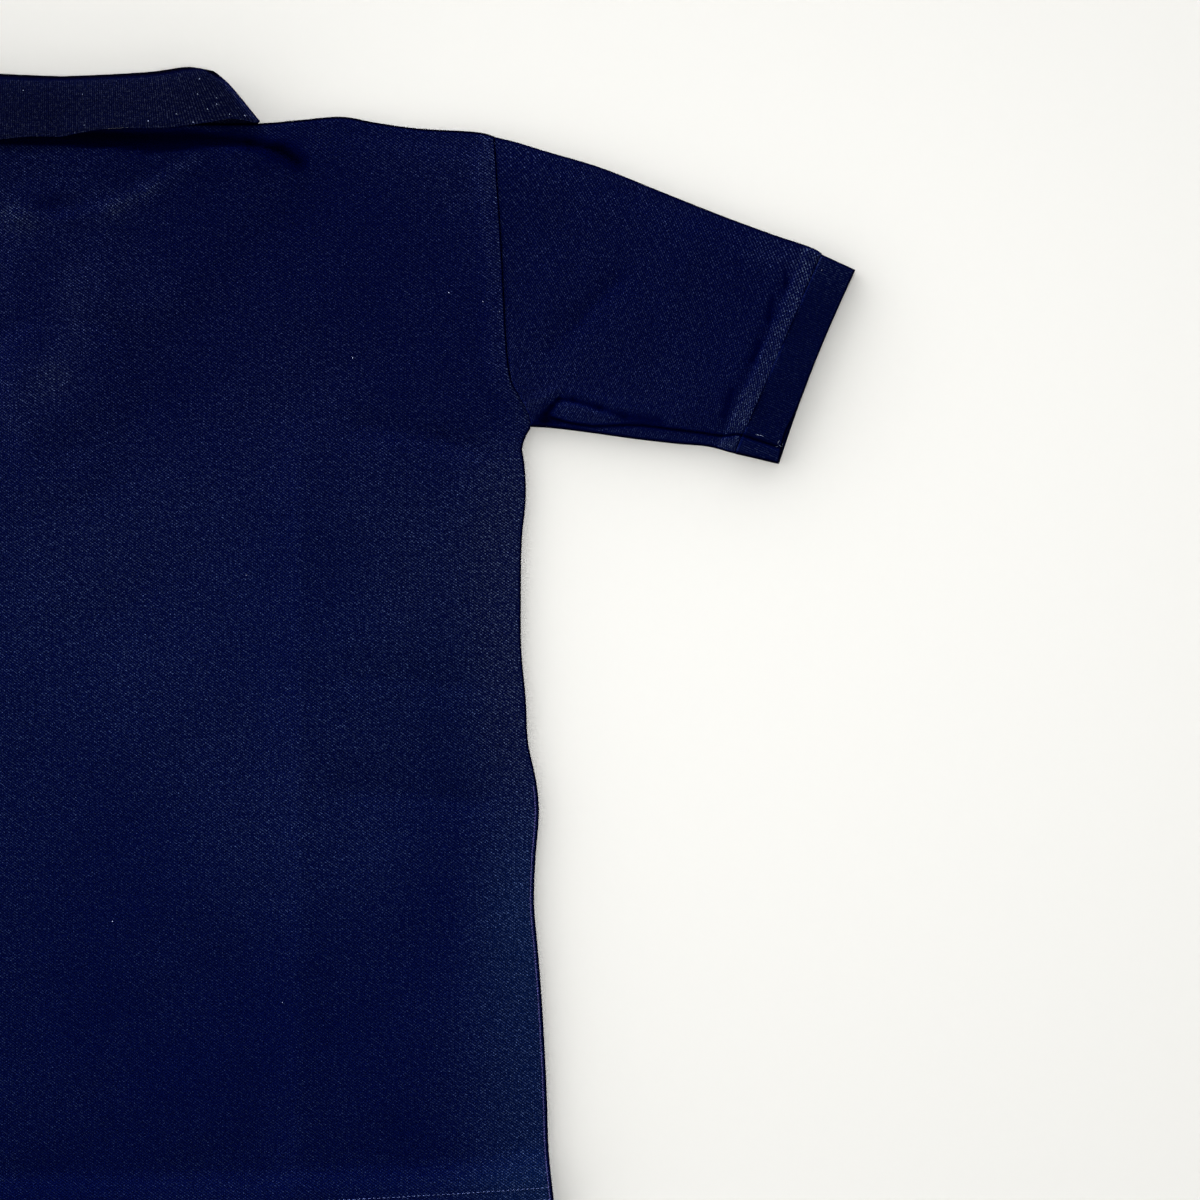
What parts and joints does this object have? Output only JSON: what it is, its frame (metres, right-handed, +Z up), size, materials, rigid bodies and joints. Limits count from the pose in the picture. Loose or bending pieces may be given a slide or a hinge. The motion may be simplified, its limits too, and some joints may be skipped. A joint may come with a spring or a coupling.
{
  "type": "polo shirt",
  "caption": "Short-sleeved knit polo shirt with a rib collar, rib cuffs and a buttoned placket, laid out flat on its front with the back up.",
  "frame": {"origin": "on the surface the shirt lies on, under the middle of its bounding box", "axes": "+X towards the wearer's right cuff, +Y from the hem to the collar, +Z up from the front, which lies down, to the back"},
  "size_m": [0.9914, 0.7305, 0.0095],
  "materials": {
    "pique": "matte navy pique knit",
    "rib": "matte navy flat-knit rib",
    "button": "satin navy resin"
  },
  "bodies": {
    "root": {"back": "pique", "front": "pique", "sleeve_right": "pique", "sleeve_left": "pique", "cuff_right": "rib", "cuff_left": "rib", "collar": "rib", "placket_outer": "pique", "placket_under": "pique", "button_top": "button", "button_low": "button"}
  },
  "joints": []
}
